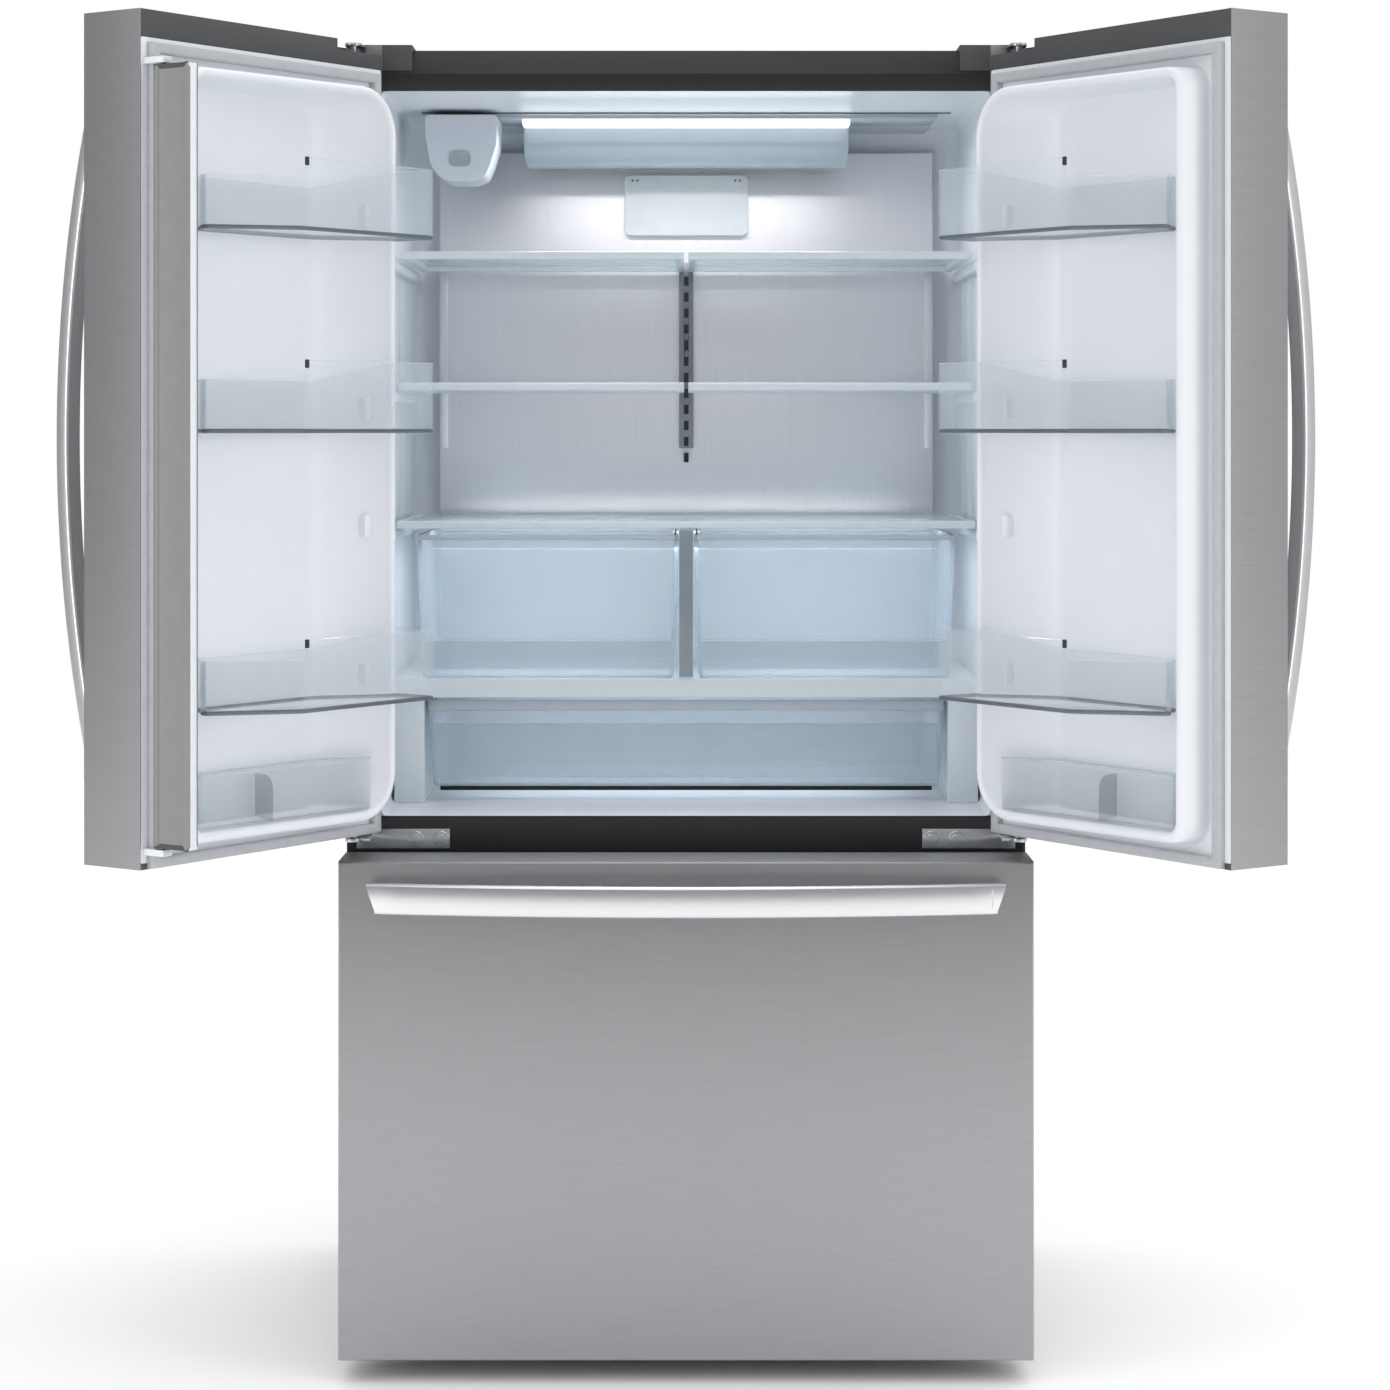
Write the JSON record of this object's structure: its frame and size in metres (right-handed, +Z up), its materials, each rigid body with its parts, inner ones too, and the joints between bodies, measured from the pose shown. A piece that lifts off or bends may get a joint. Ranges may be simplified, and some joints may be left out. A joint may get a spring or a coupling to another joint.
{
  "type": "french door refrigerator",
  "caption": "Two-door refrigerator over a pull-out freezer drawer, with clear door bins, glass shelves, crispers, a pantry drawer and bowed bar handles.",
  "frame": {"origin": "on the floor, centred on the width and on the whole depth that the refrigerator takes with its doors standing open, 234 mm in front of the cabinet's mid depth", "axes": "+Z up; the front faces -Y; +X to the right as seen from the front; doors stored open"},
  "size_m": [1.5732, 1.0913, 1.759],
  "materials": {
    "painted_steel": "satin",
    "foam": "rigid foam",
    "white_liner": "vacuum formed",
    "dark_trim": "fine grain",
    "zinc_steel": "zinc plated",
    "metal_panel": "brushed",
    "duct_plastic": "translucent",
    "lamp": "lit diffuser",
    "frosted_plastic": "frosted",
    "grey_plastic": "moulded",
    "filter_plastic": "moulded",
    "rail_steel": "powder coated",
    "trim_plastic": "moulded",
    "glass": "tempered",
    "white_plastic": "moulded",
    "black_paint": "gloss",
    "aluminium": "fins",
    "black_plastic": "moulded",
    "clear_plastic": "clear moulded plastic",
    "stainless": "fine brushed",
    "seal": "soft vinyl",
    "handle_steel": "satin",
    "cap_plastic": "fine grain",
    "flap_plastic": "moulded"
  },
  "bodies": {
    "cabinet": {"cabinet_shell": "painted_steel", "insulation_foam": "foam", "fresh_food_liner": "white_liner", "freezer_liner": "white_liner", "top_front_trim": "dark_trim", "center_cross_rail": "dark_trim", "hinge_brackets": "zinc_steel", "hinge_screws": "zinc_steel", "hinge_covers": "dark_trim", "rear_air_panel": "metal_panel", "ceiling_duct": "duct_plastic", "lamp_lens": "lamp", "dispenser_housing": "frosted_plastic", "air_filter_cover": "filter_plastic", "shelf_rails": "rail_steel", "shelf_frames": "trim_plastic", "glass_shelves": "glass", "crisper_frame": "white_plastic", "freezer_rails": "zinc_steel", "compressor": "black_paint", "condenser_coil": "black_paint", "evaporator_coil": "aluminium", "evaporator_cover": "white_plastic", "machine_cover": "black_paint", "power_inlet": "black_plastic"},
    "dispenser_button": {"dispenser_button": "grey_plastic"},
    "condenser_fan": {"condenser_fan": "black_plastic"},
    "evaporator_fan": {"evaporator_fan": "black_plastic"},
    "foot_left": {"foot_left": "black_plastic"},
    "foot_right": {"foot_right": "black_plastic"},
    "rear_rollers": {"rear_rollers": "black_plastic"},
    "crisper_left": {"crisper_left": "clear_plastic"},
    "crisper_right": {"crisper_right": "clear_plastic"},
    "pantry_drawer": {"pantry_drawer": "clear_plastic"},
    "freezer_drawer": {"drawer_skin": "stainless", "drawer_liner": "white_liner", "drawer_seal": "seal", "drawer_handle": "handle_steel", "drawer_slides": "zinc_steel", "freezer_basket": "white_plastic"},
    "freezer_tray": {"freezer_tray": "clear_plastic"},
    "mullion_flap": {"mullion_flap": "flap_plastic"},
    "door_left": {"door_left_skin": "stainless", "door_left_liner": "white_liner", "door_left_seal": "seal", "door_left_caps": "cap_plastic", "door_left_handle": "handle_steel", "door_left_rack": "clear_plastic"},
    "door_left_bin_top": {"door_left_bin_top": "clear_plastic"},
    "door_left_bin_middle": {"door_left_bin_middle": "clear_plastic"},
    "door_left_bin_low": {"door_left_bin_low": "clear_plastic"},
    "door_right": {"door_right_skin": "stainless", "door_right_liner": "white_liner", "door_right_seal": "seal", "door_right_caps": "cap_plastic", "door_right_handle": "handle_steel", "door_right_rack": "clear_plastic"},
    "door_right_bin_top": {"door_right_bin_top": "clear_plastic"},
    "door_right_bin_middle": {"door_right_bin_middle": "clear_plastic"},
    "door_right_bin_low": {"door_right_bin_low": "clear_plastic"}
  },
  "joints": [
    {"name": "door_left_swing", "type": "hinge", "parent": "cabinet", "child": "door_left", "pos_m": [-0.44, -0.126, 1.2], "axis": [0, 0, -1], "range_deg": [-124.35, 4]},
    {"name": "door_left_bin_top_lift", "type": "slide", "parent": "door_left", "child": "door_left_bin_top", "axis": [0, 0, 1], "range_m": [0, 0.02]},
    {"name": "door_left_bin_middle_lift", "type": "slide", "parent": "door_left", "child": "door_left_bin_middle", "axis": [0, 0, 1], "range_m": [0, 0.02]},
    {"name": "door_left_bin_low_lift", "type": "slide", "parent": "door_left", "child": "door_left_bin_low", "axis": [0, 0, 1], "range_m": [0, 0.02]},
    {"name": "door_right_swing", "type": "hinge", "parent": "cabinet", "child": "door_right", "pos_m": [0.44, -0.126, 1.2], "axis": [0, 0, 1], "range_deg": [-124.35, 4]},
    {"name": "door_right_bin_top_lift", "type": "slide", "parent": "door_right", "child": "door_right_bin_top", "axis": [0, 0, 1], "range_m": [0, 0.02]},
    {"name": "door_right_bin_middle_lift", "type": "slide", "parent": "door_right", "child": "door_right_bin_middle", "axis": [0, 0, 1], "range_m": [0, 0.02]},
    {"name": "door_right_bin_low_lift", "type": "slide", "parent": "door_right", "child": "door_right_bin_low", "axis": [0, 0, 1], "range_m": [0, 0.02]},
    {"name": "mullion_flap_fold", "type": "hinge", "parent": "door_left", "child": "mullion_flap", "pos_m": [-0.62791, -0.51083, 1.2], "axis": [0, 0, 1], "range_deg": [-90, 0]},
    {"name": "crisper_left_slide", "type": "slide", "parent": "cabinet", "child": "crisper_left", "axis": [0, -1, 0], "range_m": [0, 0.24]},
    {"name": "crisper_right_slide", "type": "slide", "parent": "cabinet", "child": "crisper_right", "axis": [0, -1, 0], "range_m": [0, 0.24]},
    {"name": "pantry_drawer_slide", "type": "slide", "parent": "cabinet", "child": "pantry_drawer", "axis": [0, -1, 0], "range_m": [0, 0.26]},
    {"name": "freezer_drawer_slide", "type": "slide", "parent": "cabinet", "child": "freezer_drawer", "axis": [0, -1, 0], "range_m": [0, 0.32]},
    {"name": "freezer_tray_slide", "type": "slide", "parent": "freezer_drawer", "child": "freezer_tray", "axis": [0, 1, 0], "range_m": [0, 0.08]},
    {"name": "dispenser_button_press", "type": "slide", "parent": "cabinet", "child": "dispenser_button", "axis": [0, 1, 0], "range_m": [0, 0.003], "stiffness_N_per_m": 400},
    {"name": "condenser_fan_spin", "type": "hinge", "parent": "cabinet", "child": "condenser_fan", "pos_m": [-0.008, 0.444, 0.15], "axis": [1, 0, 0], "continuous": true},
    {"name": "evaporator_fan_spin", "type": "hinge", "parent": "cabinet", "child": "evaporator_fan", "pos_m": [0, 0.392, 0.59], "axis": [0, 1, 0], "continuous": true},
    {"name": "foot_left_height", "type": "slide", "parent": "cabinet", "child": "foot_left", "axis": [0, 0, 1], "range_m": [-0.012, 0]},
    {"name": "foot_right_height", "type": "slide", "parent": "cabinet", "child": "foot_right", "axis": [0, 0, 1], "range_m": [-0.012, 0]},
    {"name": "rear_rollers_roll", "type": "hinge", "parent": "cabinet", "child": "rear_rollers", "pos_m": [0, 0.484, 0.019], "axis": [1, 0, 0], "continuous": true}
  ]
}
